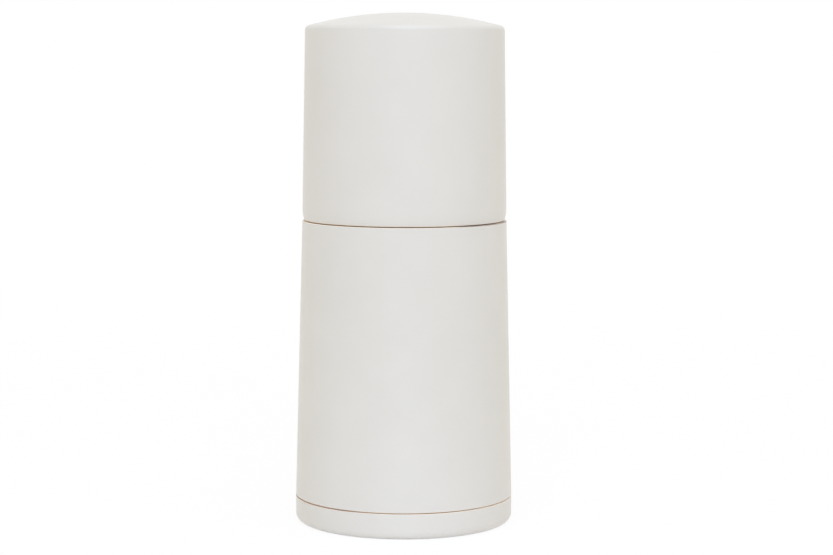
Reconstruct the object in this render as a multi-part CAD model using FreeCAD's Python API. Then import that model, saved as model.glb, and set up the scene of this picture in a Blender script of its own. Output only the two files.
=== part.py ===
"""A twist spice mill that grates hard spices: nutmeg, cinnamon and tonka bean.

The domed handle turns on the neck of the tapered body. It drags a spring-loaded plate of claws round
over an etched blade, and the powder falls out below. A low cap closes the mouth when the mill stands.

Millimetres, +Z up. The origin is the middle of the face that the mill stands on.
"""

import FreeCAD
import Part
import math
import os

from FreeCAD import Vector

# Outside form, from the table up
grip_radius = 27.2          # top of the body and foot of the handle, which are flush
body_flare = 1.8            # how much wider the body's foot is than its top
handle_draft = 0.8          # how much narrower the handle's rim is than its foot
cap_height = 6.95
lower_seam = 0.2
body_height = 73.55
upper_seam = 0.3
handle_height = 51.2        # foot to rim, before the rim is rounded
dome_rise = 3.6

# Edges that show
cap_foot_rounding = 2.2
seam_bevel = 0.15           # at the seam between body and cap
body_top_bevel = 0.2
rim_rounding = 1.4
foot_roll_height = 2.9      # the handle's side rolls inwards over this height above its foot
foot_roll_inset = 0.45
foot_bevel = 0.2

# Base cap and the cup inside it
cap_floor = 2.0
cap_recess = 0.8            # hollow under the cap, inside its standing ring
standing_width = 5.5
cup_fit = 0.1
cup_wall = 2.3
cup_floor = 1.2
collar_height = 5.9         # how far the cup stands out of the cap
collar_clearance = 0.3
stake_count = 3             # heat stakes that hold the cup in the cap
stake_radius = 1.5
stake_circle = 20.0
stake_height = 0.6          # above the cup's floor

# Seal band round the cup's collar
seal_height = 1.8
seal_depth = 1.2
seal_ridge = 0.3            # how far the band's middle stands out
seal_below_rim = 1.6
seal_fit = 0.08

# Body shell
mouth_wall = 1.9
body_wall = 2.6
shoulder_thickness = 2.5
shoulder_clearance = 0.2
body_post_radius = 2.2
body_post_gap = 0.5
body_rib_thickness = 1.6
post_count = 3

# Blade and what clamps it. Directions are in degrees from a screw post
blade_ring_gap = 0.65       # above the cup's collar
blade_ring_height = 3.5
blade_ring_lip = 0.5        # how far the ring reaches in under the blade past the sleeve's bore
spoke_width = 2.0
spoke_height = 2.5
spoke_hub_radius = 3.5
spoke_direction = 30.0
blade_thickness = 0.4
blade_lap = 1.5             # how far the blade reaches outwards under the sleeve
blade_fit = 0.2
blade_key_width = 2.6
blade_key_depth = 1.1
blade_key_direction = 60.0
flange_thickness = 2.5

# Etched teeth of the blade
tooth_rows = 5
teeth_in_first_row = 6
teeth_added_per_row = 4
first_row_radius = 4.2
row_spacing = 2.8
tooth_width = 1.6
tooth_length = 1.7
tooth_rise = 0.65           # tip above the blade's upper face
tooth_tip_thickness = 0.25
tooth_root = 0.4            # how far the tooth starts behind its hole, inside the blade
tooth_root_depth = 0.04     # root below the blade's faces
hole_width = 2.0
hole_length = 1.9

# Neck, and the ring that turns on it
handle_wall = 2.2
core_fit = 0.15
skirt_wall = 1.35           # outside the lug grooves
lug_clearance = 0.1
lug_depth = 0.8
bearing_wall = 2.0
running_clearance = 0.08
sleeve_wall = 2.0
washer_thickness = 0.5
washer_inset = 0.25
washer_width = 3.2
bearing_play = 0.1
bearing_flange = 2.0
bearing_flange_inset = 0.65
hub_height = 5.6
lug_count = 6
lug_width = 4.0
lug_height = 2.9
lug_chamfer = 0.5
skirt_clearance = 0.15
grip_band_height = 1.6
grip_band_depth = 0.9
grip_band_below_top = 0.7
grip_band_ridge = 0.3
grip_band_fit = 0.05
clip_thickness = 1.0
clip_play = 0.1
clip_groove_depth = 0.8
clip_width = 2.15
clip_opening = 44.0         # degrees
clip_ear_hole = 0.55
clip_ear_radius = 1.35
neck_margin = 1.4
neck_chamfer = 0.5

# Handle core and its guide tube
seat_gap = 0.1
web_gap = 0.8
web_thickness = 2.6
guide_radius = 12.6
guide_bore = 10.0
guide_drop = 14.3           # below the web, into the chamber
guide_land = 12.4
well_bore = 11.2
spline_count = 4
spline_width = 2.2
spline_height = 1.0
slide_clearance = 0.15
gusset_thickness = 1.4
gusset_height = 9.0
gusset_reach = 9.0
gusset_direction = 60.0     # degrees from a screw post

# Handle shell
upper_wall = 2.6
dome_wall = 2.4
handle_post_radius = 2.6
handle_rib_thickness = 1.6
handle_rib_start = 2.5      # above the core's web
crown_inner_radius = 9.5
crown_outer_radius = 12.0

# Spring cap and pressure spring
spring_cap_depth = 3.8      # its top below the inside of the dome
spring_cap_flange = 1.6
spring_cap_plug = 1.5
spring_cap_fit = 0.1
spigot_radius = 5.7
spigot_height = 4.5
spring_radius = 6.45        # middle of the wire
spring_wire = 0.9
spring_turns = 10
spring_wire_sides = 6
spring_end_pitch = 1.45
spring_end_gap = 0.08

# Pusher
stop_gap = 0.1
stop_collar = 1.5
tube_wall = 2.25
spring_seat_height = 32.5   # above the tube's lower end
spring_seat_thickness = 2.0
boss_radius = 3.2
cross_rib_thickness = 1.4
cross_rib_grip = 1.5        # how far the ribs reach down into the foot's hub
foot_gap = 1.7              # foot to chamber wall
foot_thickness = 2.5
foot_edge_bevel = 0.5
foot_hub_height = 2.5
foot_fit = 0.1
spline_foot_gap = 2.5
peg_radius = 1.0
peg_circle = 10.0
peg_count = 2
peg_direction = 22.5        # degrees from a spline

# Claws
claw_gap = 2.45             # claw tips above the blade's teeth
claw_drop = 4.0
claw_width = 3.0
claw_thickness = 0.5
claw_plate_inset = 1.3
claws_per_row = 4
inner_claw_circle = 7.5
claw_edge_distance = 3.0

# Screws
ring_screw_head = 2.1
ring_screw_head_height = 1.3
ring_screw_shank = 1.1
ring_screw_length = 9.0
core_screw_head = 2.1
core_screw_head_height = 1.2
core_screw_shank = 1.1
core_screw_length = 9.0
core_screw_gap = 0.9
claw_screw_head = 3.0
claw_screw_head_height = 1.6
claw_screw_shank = 1.25
claw_screw_length = 15.5
thread_clearance = 0.05
hole_clearance = 0.2
head_clearance = 0.3
head_edge = 0.5
recess_width = 0.6
recess_depth = 0.7
screw_point = 1.2

# Heights that follow
body_foot = cap_height + lower_seam
body_top = body_foot + body_height
handle_foot = body_top + upper_seam
rim_height = handle_foot + handle_height
top = rim_height + dome_rise

cap_inside = cap_recess + cap_floor
cup_inside = cap_inside + cup_floor
collar_top = cap_height + collar_height
blade_ring_bottom = collar_top + blade_ring_gap
blade_bottom = blade_ring_bottom + blade_ring_height
blade_top = blade_bottom + blade_thickness
ledge = blade_bottom + flange_thickness
shoulder_bottom = body_top - shoulder_thickness

washer_top = body_top + washer_thickness
bearing_bottom = washer_top + bearing_play
bearing_flange_top = bearing_bottom + bearing_flange
hub_top = bearing_flange_top + hub_height
clip_bottom = hub_top + bearing_play
clip_top = clip_bottom + clip_thickness
clip_groove_top = clip_top + clip_play
neck_top = clip_groove_top + neck_margin

skirt_foot = bearing_flange_top + seat_gap
web_bottom = neck_top + web_gap
web_top = web_bottom + web_thickness
guide_bottom = web_bottom - guide_drop
guide_step = guide_bottom + guide_land
spring_cap_top = top - dome_wall - spring_cap_depth
guide_top = spring_cap_top - spring_cap_flange
plug_bottom = guide_top - spring_cap_plug

tooth_top = blade_top + tooth_rise
claw_tip = tooth_top + claw_gap
claw_plate_bottom = claw_tip + claw_drop
foot_bottom = claw_plate_bottom + claw_thickness
foot_top = foot_bottom + foot_thickness
collar_bottom = guide_step + stop_gap
tube_top = collar_bottom + stop_collar
spring_seat = foot_top + spring_seat_height

# Radii that follow
base_radius = grip_radius + body_flare
rim_radius = grip_radius - handle_draft
mouth_radius = base_radius - mouth_wall
collar_radius = mouth_radius - collar_clearance
cap_bore = collar_radius + cup_fit
cup_bore = collar_radius - cup_wall

handle_bore = grip_radius - handle_wall
skirt_radius = handle_bore - core_fit
lug_groove_radius = skirt_radius - skirt_wall
lug_radius = lug_groove_radius - lug_clearance
hub_radius = lug_radius - lug_depth
skirt_bore = hub_radius + skirt_clearance
bearing_bore = hub_radius - bearing_wall
neck_radius = bearing_bore - running_clearance
chamber_radius = neck_radius - sleeve_wall
clip_groove_radius = neck_radius - clip_groove_depth

post_circle = neck_radius + body_post_gap + body_post_radius
blade_radius = chamber_radius + blade_lap
blade_seat_radius = blade_radius + blade_fit
core_screw_circle = guide_radius + core_screw_gap + core_screw_head
keyway_radius = guide_bore + spline_height
tube_radius = guide_bore - slide_clearance
tube_bore = tube_radius - tube_wall
spline_radius = keyway_radius - slide_clearance
stop_radius = well_bore - slide_clearance
foot_radius = chamber_radius - foot_gap
claw_plate_radius = foot_radius - claw_plate_inset
outer_claw_circle = claw_plate_radius - claw_edge_distance


def turned(shape, angle):
    """Copy of a shape, turned about the mill's axis."""
    copy = shape.copy()
    copy.rotate(Vector(0, 0, 0), Vector(0, 0, 1), angle)
    return copy


def angles(count, first=0.0):
    """Evenly spaced directions round the axis, in degrees."""
    return [first + 360.0 * index / count for index in range(count)]


def revolved(*runs):
    """Full turn of a closed outline in the plane of radius and height.

    A run is a (radius, height) point at the end of a straight line, or two such points: an arc goes
    through the first and ends at the second. The first run is a point, where the outline starts.
    """
    here = Vector(runs[0][0], 0, runs[0][1])
    edges = []
    for run in runs[1:] + runs[:1]:
        if isinstance(run[0], tuple):
            through = Vector(run[0][0], 0, run[0][1])
            end = Vector(run[1][0], 0, run[1][1])
            edges.append(Part.Arc(here, through, end).toShape())
        else:
            end = Vector(run[0], 0, run[1])
            edges.append(Part.makeLine(here, end))
        here = end
    face = Part.Face(Part.Wire(edges))
    return face.revolve(Vector(0, 0, 0), Vector(0, 0, 1), 360)


def ring(inner, outer, bottom, height_top):
    """Flat ring or tube between two radii and two heights."""
    return revolved((inner, bottom), (outer, bottom), (outer, height_top), (inner, height_top))


def band(inner, crest, ridge, bottom, height):
    """Elastic band whose outside rises to a ridge half way up."""
    return revolved(
        (inner, bottom),
        (crest - ridge, bottom),
        (crest, bottom + height / 2),
        (crest - ridge, bottom + height),
        (inner, bottom + height),
    )


def pin(radius, bottom, pin_top, distance=0.0, angle=0.0):
    """Upright round bar at a distance from the axis."""
    cylinder = Part.makeCylinder(radius, pin_top - bottom, Vector(distance, 0, bottom))
    return turned(cylinder, angle)


def bar(start, end, width, bottom, bar_top, angle=0.0):
    """Upright bar that runs outwards from one radius to another."""
    box = Part.makeBox(end - start, width, bar_top - bottom, Vector(start, -width / 2, bottom))
    return turned(box, angle)


def prism(points, direction):
    """Solid swept straight from a closed outline of points."""
    return Part.Face(Part.makePolygon(points + points[:1])).extrude(direction)


def joined(first, others):
    """One solid from a shape and the shapes that touch or enter it."""
    return first.multiFuse(others)


def corner(centre_radius, centre_height, rounding, start, end):
    """Arc run of an outline about a centre, from one direction to another, in degrees from outwards."""
    def place(direction):
        turn = math.radians(direction)
        return (centre_radius + rounding * math.cos(turn), centre_height + rounding * math.sin(turn))
    return (place((start + end) / 2), place(end))


def sphere_radius(edge_radius, rise):
    """Radius of the sphere cap that rises from a round edge."""
    return (edge_radius ** 2 + rise ** 2) / (2 * rise)


def sphere_height(radius, edge_radius, edge_height, rise):
    """Height at a radius of the sphere cap that rises from a round edge."""
    sphere = sphere_radius(edge_radius, rise)
    return edge_height + rise - sphere + math.sqrt(sphere ** 2 - radius ** 2)


def screw(seat, length, head, head_height, shank):
    """Screw driven upwards: rounded head under its seat, pointed shank above, cross recess below."""
    face = seat - head_height
    flat = head / 2
    body = revolved(
        (0, seat + length),
        (shank, seat + length - screw_point),
        (shank, seat),
        (head, seat),
        (head, seat - head_edge),
        (flat, face),
        (0, face),
    )
    slots = [bar(-flat, flat, recess_width, face, face + recess_depth, angle) for angle in (0, 90)]
    return body.cut(slots)


def base_cap():
    """Low cover that the mill stands on, with a standing ring round a shallow hollow."""
    block = revolved(
        (0, 0),
        (base_radius - cap_foot_rounding, 0),
        corner(base_radius - cap_foot_rounding, cap_foot_rounding, cap_foot_rounding, -90, 0),
        (base_radius, cap_height - seam_bevel),
        (base_radius - seam_bevel, cap_height),
        (0, cap_height),
    )
    pocket = ring(0, cap_bore, cap_inside, cap_height)
    hollow = ring(0, base_radius - standing_width, 0, cap_recess)
    stakes = [pin(stake_radius, cap_recess, cup_inside + stake_height, stake_circle, angle)
              for angle in angles(stake_count)]
    return joined(block.cut([pocket, hollow]), stakes)


def seal_groove_bottom():
    """Height of the lower wall of the seal's groove."""
    return collar_top - seal_below_rim - seal_height


def cap_liner():
    """Cup in the base cap that catches loose powder, and whose collar plugs the body's mouth."""
    groove_bottom = seal_groove_bottom()
    groove_top = groove_bottom + seal_height
    groove_radius = collar_radius - seal_depth
    cup = revolved(
        (0, cap_inside),
        (collar_radius, cap_inside),
        (collar_radius, groove_bottom),
        (groove_radius, groove_bottom),
        (groove_radius, groove_top),
        (collar_radius, groove_top),
        (collar_radius, collar_top - seam_bevel),
        (collar_radius - seam_bevel, collar_top),
        (cup_bore, collar_top),
        (cup_bore, cup_inside),
        (0, cup_inside),
    )
    holes = [pin(stake_radius + cup_fit, cap_inside, cup_inside, stake_circle, angle)
             for angle in angles(stake_count)]
    return cup.cut(holes)


def cap_seal():
    """Silicone band that grips the body's mouth."""
    bottom = seal_groove_bottom()
    inner = collar_radius - seal_depth + thread_clearance
    crest = mouth_radius - seal_fit
    return band(inner, crest, seal_ridge, bottom, seal_height)


def body_side_radius(height):
    """Radius of the body's outer cone at a height."""
    return base_radius - body_flare * (height - body_foot) / body_height


def body_shell():
    """Tapered outer body, hollow, with a shoulder at the top and three screw posts inside."""
    block = revolved(
        (0, body_foot),
        (base_radius - seam_bevel, body_foot),
        (base_radius, body_foot + seam_bevel),
        (grip_radius, body_top - body_top_bevel),
        (grip_radius - body_top_bevel, body_top),
        (0, body_top),
    )
    cavity = revolved(
        (0, body_foot),
        (mouth_radius, body_foot),
        (mouth_radius, ledge),
        (body_side_radius(ledge) - body_wall, ledge),
        (body_side_radius(shoulder_bottom) - body_wall, shoulder_bottom),
        (0, shoulder_bottom),
    )
    posts = [pin(body_post_radius, ledge, shoulder_bottom, post_circle, angle)
             for angle in angles(post_count)]
    ribs = [bar(post_circle, base_radius, body_rib_thickness, ledge, shoulder_bottom, angle)
            for angle in angles(post_count)]
    shell = block.cut(cavity.cut(posts + ribs))
    neck_hole = ring(0, neck_radius + shoulder_clearance, shoulder_bottom, body_top)
    pilot = ring_screw_shank + thread_clearance
    pilot_top = blade_ring_screw_seat() + ring_screw_length + screw_point
    pilots = [pin(pilot, ledge, pilot_top, post_circle, angle) for angle in angles(post_count)]
    return shell.cut([neck_hole] + pilots)


def chamber_sleeve():
    """Tube that holds the spice. Its flange carries the blade, and its top is the neck."""
    tube = revolved(
        (blade_seat_radius, blade_bottom),
        (collar_radius, blade_bottom),
        (collar_radius, ledge),
        (neck_radius, ledge),
        (neck_radius, clip_bottom),
        (clip_groove_radius, clip_bottom),
        (clip_groove_radius, clip_groove_top),
        (neck_radius, clip_groove_top),
        (neck_radius, neck_top - neck_chamfer),
        (neck_radius - neck_chamfer, neck_top),
        (chamber_radius, neck_top),
        (chamber_radius, blade_top),
        (blade_seat_radius, blade_top),
    )
    key_start = blade_radius - blade_key_depth
    keys = [bar(key_start, neck_radius, blade_key_width, blade_bottom, blade_top, angle)
            for angle in angles(post_count, blade_key_direction)]
    hole = ring_screw_shank + hole_clearance
    holes = [pin(hole, blade_bottom, ledge, post_circle, angle) for angle in angles(post_count)]
    return joined(tube, keys).cut(holes)


def tooth_places():
    """Radius and direction of each tooth of the blade, with every other row turned by half a step."""
    places = []
    for row in range(tooth_rows):
        count = teeth_in_first_row + teeth_added_per_row * row
        radius = first_row_radius + row_spacing * row
        first = 180.0 / count if row % 2 else 0.0
        for angle in angles(count, first):
            places.append((radius, angle))
    return places


def tooth(radius, angle):
    """Tongue that rises from the blade over the hole that it was etched free of."""
    root_low = blade_bottom + tooth_root_depth
    root_high = blade_top - tooth_root_depth
    start = radius - tooth_width / 2
    points = [
        Vector(start, -tooth_root, root_low),
        Vector(start, 0, root_low),
        Vector(start, tooth_length, tooth_top - tooth_tip_thickness),
        Vector(start, tooth_length - tooth_tip_thickness / 2, tooth_top),
        Vector(start, -tooth_root, root_high),
    ]
    return turned(prism(points, Vector(tooth_width, 0, 0)), angle)


def blade_disc():
    """Thin steel disc with rings of etched, raised teeth, each with its hole behind it."""
    outline = [Part.Wire(Part.makeCircle(blade_radius, Vector(0, 0, blade_bottom)))]
    for radius, angle in tooth_places():
        start = radius - hole_width / 2
        corners = [
            Vector(start, 0, blade_bottom),
            Vector(start + hole_width, 0, blade_bottom),
            Vector(start + hole_width, hole_length, blade_bottom),
            Vector(start, hole_length, blade_bottom),
        ]
        outline.append(turned(Part.makePolygon(corners + corners[:1]), angle))
    disc = Part.Face(outline, "Part::FaceMakerBullseye").extrude(Vector(0, 0, blade_thickness))
    notch_start = blade_radius - blade_key_depth - blade_fit
    notch_width = blade_key_width + 2 * blade_fit
    notches = [bar(notch_start, neck_radius, notch_width, blade_bottom, blade_top, angle)
               for angle in angles(post_count, blade_key_direction)]
    disc = disc.cut(notches)
    return disc.multiFuse([tooth(radius, angle) for radius, angle in tooth_places()])


def blade_ring_screw_seat():
    """Height of the faces that the blade ring's screw heads press on."""
    return blade_ring_bottom + ring_screw_head_height + head_clearance


def blade_ring():
    """Ring with three spokes and a hub that press the blade up against the sleeve."""
    rim = ring(chamber_radius - blade_ring_lip, collar_radius, blade_ring_bottom, blade_bottom)
    spoke_bottom = blade_bottom - spoke_height
    spokes = [bar(0, chamber_radius, spoke_width, spoke_bottom, blade_bottom, angle)
              for angle in angles(post_count, spoke_direction)]
    hub = pin(spoke_hub_radius, spoke_bottom, blade_bottom)
    frame = joined(rim, spokes + [hub])
    head = ring_screw_head + head_clearance
    seat = blade_ring_screw_seat()
    counterbores = [pin(head, blade_ring_bottom, seat, post_circle, angle)
                    for angle in angles(post_count)]
    hole = ring_screw_shank + hole_clearance
    holes = [pin(hole, seat, blade_bottom, post_circle, angle) for angle in angles(post_count)]
    return frame.cut(counterbores + holes)


def ring_screws():
    """Three screws that clamp the blade ring and the sleeve's flange to the body's posts."""
    one = screw(blade_ring_screw_seat(), ring_screw_length, ring_screw_head,
                ring_screw_head_height, ring_screw_shank)
    one.translate(Vector(post_circle, 0, 0))
    return Part.makeCompound([turned(one, angle) for angle in angles(post_count)])


def thrust_washer():
    """Thin low-friction washer under the bearing ring."""
    inner = neck_radius + washer_inset
    return ring(inner, inner + washer_width, body_top, washer_top)


def bearing_ring():
    """Ring that turns on the neck, with six lugs that drive the handle."""
    band_top = hub_top - grip_band_below_top
    band_bottom = band_top - grip_band_height
    band_radius = hub_radius - grip_band_depth
    flange_radius = skirt_radius - bearing_flange_inset
    body = revolved(
        (bearing_bore, bearing_bottom),
        (flange_radius, bearing_bottom),
        (flange_radius, bearing_flange_top),
        (hub_radius, bearing_flange_top),
        (hub_radius, band_bottom),
        (band_radius, band_bottom),
        (band_radius, band_top),
        (hub_radius, band_top),
        (hub_radius, hub_top),
        (bearing_bore, hub_top),
    )
    lug_top = bearing_flange_top + lug_height
    rim = revolved(
        (hub_radius - lug_depth, bearing_flange_top),
        (lug_radius, bearing_flange_top),
        (lug_radius, lug_top - lug_chamfer),
        (lug_radius - lug_chamfer, lug_top),
        (hub_radius - lug_depth, lug_top),
    )
    blanks = [bar(0, base_radius, lug_width, bearing_flange_top, lug_top, angle)
              for angle in angles(lug_count)]
    lugs = [rim.common(blank) for blank in blanks]
    return joined(body, lugs)


def grip_ring():
    """Silicone band that holds the handle on by friction."""
    bottom = hub_top - grip_band_below_top - grip_band_height
    inner = hub_radius - grip_band_depth + thread_clearance
    crest = skirt_bore - grip_band_fit
    return band(inner, crest, grip_band_ridge, bottom, grip_band_height)


def neck_clip():
    """Open spring clip in the neck's groove, with an ear and a hole for pliers at each end."""
    inner = clip_groove_radius + thread_clearance
    outer = inner + clip_width
    flat = ring(inner, outer, clip_bottom, clip_top)
    half = math.radians(clip_opening / 2)
    far = 2 * outer
    wedge = prism(
        [
            Vector(0, 0, clip_bottom),
            Vector(far * math.cos(half), -far * math.sin(half), clip_bottom),
            Vector(far * math.cos(half), far * math.sin(half), clip_bottom),
        ],
        Vector(0, 0, clip_thickness),
    )
    clip = flat.cut(wedge)
    ear_circle = outer - clip_ear_radius
    ear_angles = [clip_opening / 2, -clip_opening / 2]
    ears = [pin(clip_ear_radius, clip_bottom, clip_top, ear_circle, angle) for angle in ear_angles]
    eyes = [pin(clip_ear_hole, clip_bottom, clip_top, ear_circle, angle) for angle in ear_angles]
    bore = ring(0, inner, clip_bottom, clip_top)
    return joined(clip, ears).cut(eyes + [bore])


def handle_core():
    """Inner moulding of the handle: socket for the bearing ring, web, and guide tube."""
    body = revolved(
        (guide_bore, guide_bottom),
        (guide_radius, guide_bottom),
        (guide_radius, web_bottom),
        (skirt_bore, web_bottom),
        (skirt_bore, skirt_foot),
        (skirt_radius, skirt_foot),
        (skirt_radius, web_top),
        (guide_radius, web_top),
        (guide_radius, guide_top),
        (well_bore, guide_top),
        (well_bore, guide_step),
        (guide_bore, guide_step),
    )
    side = -gusset_thickness / 2
    wall_middle = (well_bore + guide_radius) / 2
    gusset = prism(
        [
            Vector(wall_middle, side, web_bottom),
            Vector(guide_radius + gusset_reach, side, web_bottom),
            Vector(guide_radius + gusset_reach, side, web_top),
            Vector(guide_radius, side, web_top + gusset_height),
            Vector(wall_middle, side, web_top + gusset_height),
        ],
        Vector(0, gusset_thickness, 0),
    )
    gussets = [turned(gusset, angle) for angle in angles(post_count, gusset_direction)]
    core = joined(body, gussets)
    keyway_ring = ring(guide_bore - spline_height, keyway_radius, guide_bottom, guide_step)
    keyway_width = spline_width + 2 * slide_clearance
    keyways = [keyway_ring.common(bar(0, guide_radius, keyway_width, guide_bottom, guide_step, angle))
               for angle in angles(spline_count)]
    lug_top = bearing_flange_top + lug_height + hole_clearance
    groove_ring = ring(hub_radius, lug_groove_radius, skirt_foot, lug_top)
    groove_width = lug_width + 2 * lug_clearance
    grooves = [groove_ring.common(bar(0, base_radius, groove_width, skirt_foot, lug_top, angle))
               for angle in angles(lug_count)]
    seat = core_screw_seat()
    heads = [pin(core_screw_head + head_clearance, web_bottom, seat, core_screw_circle, angle)
             for angle in angles(post_count)]
    holes = [pin(core_screw_shank + hole_clearance, seat, web_top, core_screw_circle, angle)
             for angle in angles(post_count)]
    return core.cut(keyways + grooves + heads + holes)


def core_screw_seat():
    """Height of the faces that the core's screw heads press on."""
    return web_bottom + core_screw_head_height + thread_clearance


def core_screws():
    """Three screws that hold the core in the handle shell."""
    one = screw(core_screw_seat(), core_screw_length, core_screw_head,
                core_screw_head_height, core_screw_shank)
    one.translate(Vector(core_screw_circle, 0, 0))
    return Part.makeCompound([turned(one, angle) for angle in angles(post_count)])


def handle_side_radius(height):
    """Radius of the handle's outer cone at a height."""
    return grip_radius - handle_draft * (height - handle_foot) / handle_height


def rim_arc():
    """Where the rim's rounding leaves the side, its middle, and where it meets the dome."""
    slope = math.hypot(handle_draft, handle_height)
    up = (-handle_draft / slope, handle_height / slope)
    sphere = sphere_radius(rim_radius, dome_rise)
    sphere_centre = top - sphere
    inset = (rim_radius - rim_rounding * up[1], rim_height + rim_rounding * up[0])
    across = (inset[0], inset[1] - sphere_centre)
    along = across[0] * up[0] + across[1] * up[1]
    room = (sphere - rim_rounding) ** 2 - across[0] ** 2 - across[1] ** 2
    reach = math.sqrt(along ** 2 + room) - along
    centre = (inset[0] + up[0] * reach, inset[1] + up[1] * reach)
    side_direction = math.atan2(-up[0], up[1])
    dome_direction = math.atan2(centre[1] - sphere_centre, centre[0])
    directions = (side_direction, (side_direction + dome_direction) / 2, dome_direction)
    return [(centre[0] + rim_rounding * math.cos(direction),
             centre[1] + rim_rounding * math.sin(direction)) for direction in directions]


def handle_block():
    """Outer form of the handle as a full solid: rolled foot, slight taper, domed top."""
    roll_top = handle_foot + foot_roll_height
    roll_radius = handle_side_radius(roll_top)
    foot_radius_outside = roll_radius - foot_roll_inset
    # Half way down, the shallow roll has come in by a quarter of its inset
    roll_middle = (roll_radius - foot_roll_inset / 4, (roll_top + handle_foot + foot_bevel) / 2)
    side_end, rim_middle, dome_start = rim_arc()
    dome_middle = dome_start[0] / 2
    dome_point = (dome_middle, sphere_height(dome_middle, rim_radius, rim_height, dome_rise))
    return revolved(
        (0, handle_foot),
        (foot_radius_outside - foot_bevel, handle_foot),
        (foot_radius_outside, handle_foot + foot_bevel),
        (roll_middle, (roll_radius, roll_top)),
        side_end,
        (rim_middle, dome_start),
        (dome_point, (0, top)),
    )


def handle_shell():
    """Domed grip, hollow, with screw posts, stiffening ribs and a crown that holds the spring cap."""
    inner_rim = rim_radius - upper_wall
    side_top = sphere_height(inner_rim, rim_radius, rim_height, dome_rise) - dome_wall
    ceiling = top - dome_wall
    cavity = revolved(
        (0, handle_foot),
        (handle_bore, handle_foot),
        (handle_bore, web_top),
        (handle_side_radius(web_top) - upper_wall, web_top),
        (inner_rim, side_top),
        (crown_outer_radius, ceiling),
        (0, ceiling),
    )
    posts = [pin(handle_post_radius, web_top, top, core_screw_circle, angle)
             for angle in angles(post_count)]
    rib_bottom = web_top + handle_rib_start
    ribs = [bar(core_screw_circle, base_radius, handle_rib_thickness, rib_bottom, top, angle)
            for angle in angles(post_count)]
    crown = ring(crown_inner_radius, crown_outer_radius, spring_cap_top, top)
    shell = handle_block().cut(cavity.cut(posts + ribs + [crown]))
    pilot = core_screw_shank + thread_clearance
    pilot_top = core_screw_seat() + core_screw_length + screw_point
    pilots = [pin(pilot, web_top, pilot_top, core_screw_circle, angle) for angle in angles(post_count)]
    return shell.cut(pilots)


def spring_cap():
    """Plug on top of the guide tube, with a spigot that centres the spring."""
    return revolved(
        (0, plug_bottom - spigot_height),
        (spigot_radius - head_edge, plug_bottom - spigot_height),
        (spigot_radius, plug_bottom - spigot_height + head_edge),
        (spigot_radius, plug_bottom),
        (well_bore - spring_cap_fit, plug_bottom),
        (well_bore - spring_cap_fit, guide_top),
        (guide_radius, guide_top),
        (guide_radius, spring_cap_top),
        (0, spring_cap_top),
    )


def spring_height(turn):
    """Height of the wire's middle after a number of turns, with a close turn at each end."""
    low = spring_seat + spring_end_gap + spring_wire / 2
    high = plug_bottom - spring_end_gap - spring_wire / 2
    if turn <= 1:
        return low + spring_end_pitch * turn
    if turn >= spring_turns - 1:
        return high - spring_end_pitch * (spring_turns - turn)
    open_pitch = (high - low - 2 * spring_end_pitch) / (spring_turns - 2)
    return low + spring_end_pitch + open_pitch * (turn - 1)


def spring_point(turn):
    """Middle of the wire after a number of turns."""
    angle = 2 * math.pi * turn
    return Vector(spring_radius * math.cos(angle), spring_radius * math.sin(angle), spring_height(turn))


def spring_direction(turn):
    """Direction of the wire after a number of turns."""
    step = 0.001
    before = max(turn - step, 0)
    after = min(turn + step, spring_turns)
    rise = (spring_height(after) - spring_height(before)) / (after - before)
    angle = 2 * math.pi * turn
    around = 2 * math.pi * spring_radius
    direction = Vector(-around * math.sin(angle), around * math.cos(angle), rise)
    return direction.normalize()


def two_arcs(start, start_direction, end, end_direction):
    """Two arcs that join two points smoothly in the given directions."""
    span = end - start
    both = start_direction + end_direction
    spread = 2 * (1 - start_direction.dot(end_direction))
    root = math.sqrt(span.dot(both) ** 2 + spread * span.dot(span))
    reach = (root - span.dot(both)) / spread
    meeting = (start + end + (start_direction - end_direction) * reach) * 0.5
    arcs = []
    for near, direction, far in ((start, start_direction, meeting), (end, end_direction * -1, meeting)):
        chord = far - near
        across = chord - direction * chord.dot(direction)
        across.normalize()
        radius = chord.dot(chord) / (2 * chord.dot(across))
        centre = near + across * radius
        outwards = (near + far) * 0.5 - centre
        middle = centre + outwards.normalize() * radius
        arcs.append((near, middle, far))
    first, second = arcs
    return [Part.Arc(*first).toShape(), Part.Arc(*reversed(second)).toShape()]


def pressure_spring():
    """Long compression spring, one unbroken wire of six-sided section."""
    steps_per_turn = 2
    edges = []
    for step in range(spring_turns * steps_per_turn):
        turn = step / steps_per_turn
        following = (step + 1) / steps_per_turn
        edges += two_arcs(spring_point(turn), spring_direction(turn),
                          spring_point(following), spring_direction(following))
    along = spring_direction(0)
    outwards = along.cross(Vector(0, 0, 1)).normalize() * (spring_wire / 2)
    upwards = outwards.cross(along)
    section = []
    for side in range(spring_wire_sides):
        turn = 2 * math.pi * side / spring_wire_sides
        section.append(spring_point(0) + outwards * math.cos(turn) + upwards * math.sin(turn))
    return Part.Wire(edges).makePipeShell([Part.makePolygon(section + section[:1])], True, False)


def spring_least_gap():
    """Least gap between neighbouring turns of the spring, measured on points along the wire."""
    samples_per_turn = 24
    count = spring_turns * samples_per_turn
    points = [spring_point(index / samples_per_turn) for index in range(count + 1)]
    least = None
    for index, place in enumerate(points):
        for other in points[index + samples_per_turn // 2:]:
            distance = place.distanceToPoint(other)
            if least is None or distance < least:
                least = distance
    return least - spring_wire


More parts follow.
